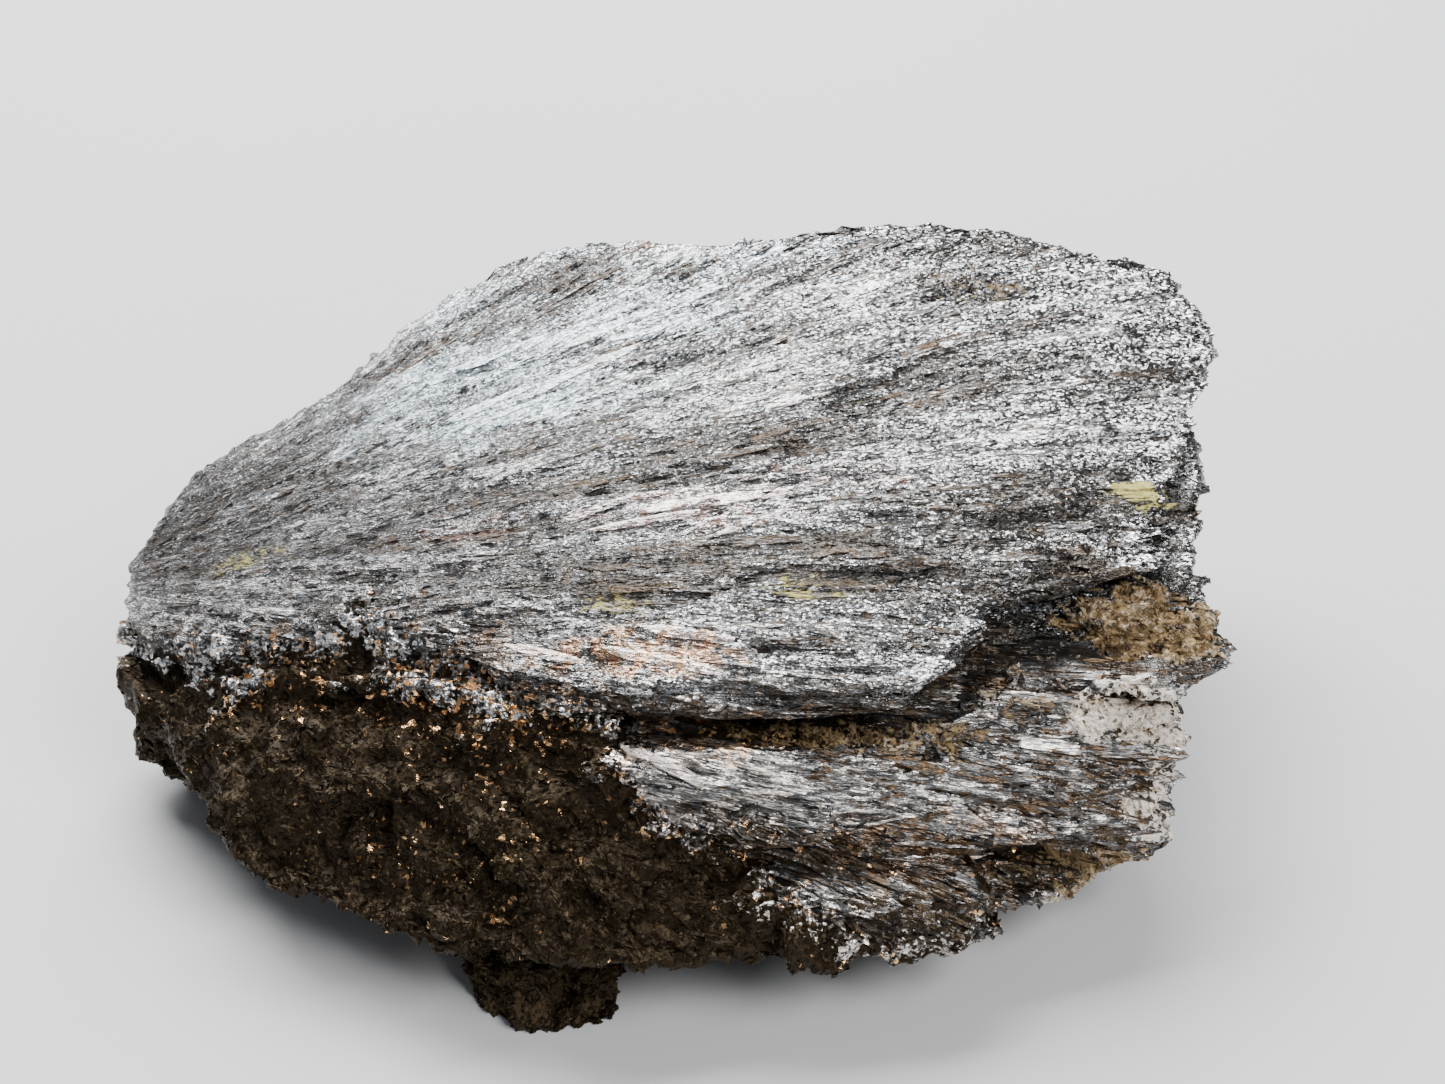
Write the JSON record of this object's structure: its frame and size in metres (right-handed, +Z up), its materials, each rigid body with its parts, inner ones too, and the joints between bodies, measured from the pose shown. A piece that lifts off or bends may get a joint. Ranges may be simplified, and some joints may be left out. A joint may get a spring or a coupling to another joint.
{
  "type": "stibnite cluster",
  "caption": "Natural massive stibnite: grown-together metallic blades fanning from a narrow end to a ragged broken end, stepped front, hackly corner, rests on a rough underside.",
  "frame": {"origin": "middle of the bounding box's lowest plane, on the ground that the specimen rests on", "axes": "+Z up as it rests; +X along the blades, from the narrow end to the ragged broken end; -Y towards the stepped front face"},
  "size_m": [0.0912, 0.0674, 0.032],
  "materials": {
    "stibnite": "metallic steel-grey bladed cleavage with small glints, darker brown and hackly at the front left, ochre crust in the broken step at the right"
  },
  "bodies": {
    "root": {"stibnite_mass": "stibnite"}
  },
  "joints": []
}
